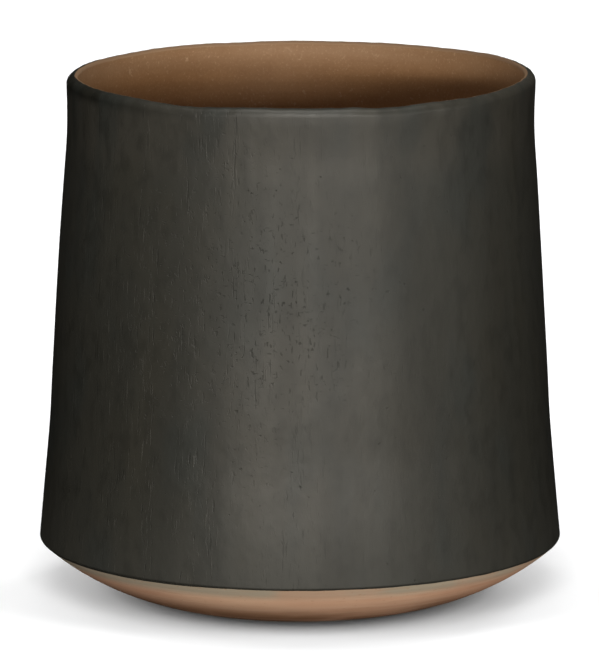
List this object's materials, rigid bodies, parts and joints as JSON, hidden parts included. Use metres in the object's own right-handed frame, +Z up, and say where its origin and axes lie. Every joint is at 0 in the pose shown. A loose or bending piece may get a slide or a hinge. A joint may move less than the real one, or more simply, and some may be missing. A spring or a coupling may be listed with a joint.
{
  "type": "empty candle jar",
  "caption": "Wide tapered stoneware candle vessel, dark slip outside, sealed brown clay inside, bowl-shaped underside on a flat foot.",
  "frame": {"origin": "centre of the foot, on the plane the vessel stands on", "axes": "+Z up along the vessel's own axis, out of its mouth; X and Y are any two level directions"},
  "size_m": [0.09, 0.09, 0.0903],
  "materials": {
    "brown_clay": "matte",
    "charcoal_slip": "matte",
    "sealed_clay": "satin"
  },
  "bodies": {
    "root": {"clay_body": "brown_clay", "charcoal_slip": "charcoal_slip", "inner_seal": "sealed_clay"}
  },
  "joints": []
}
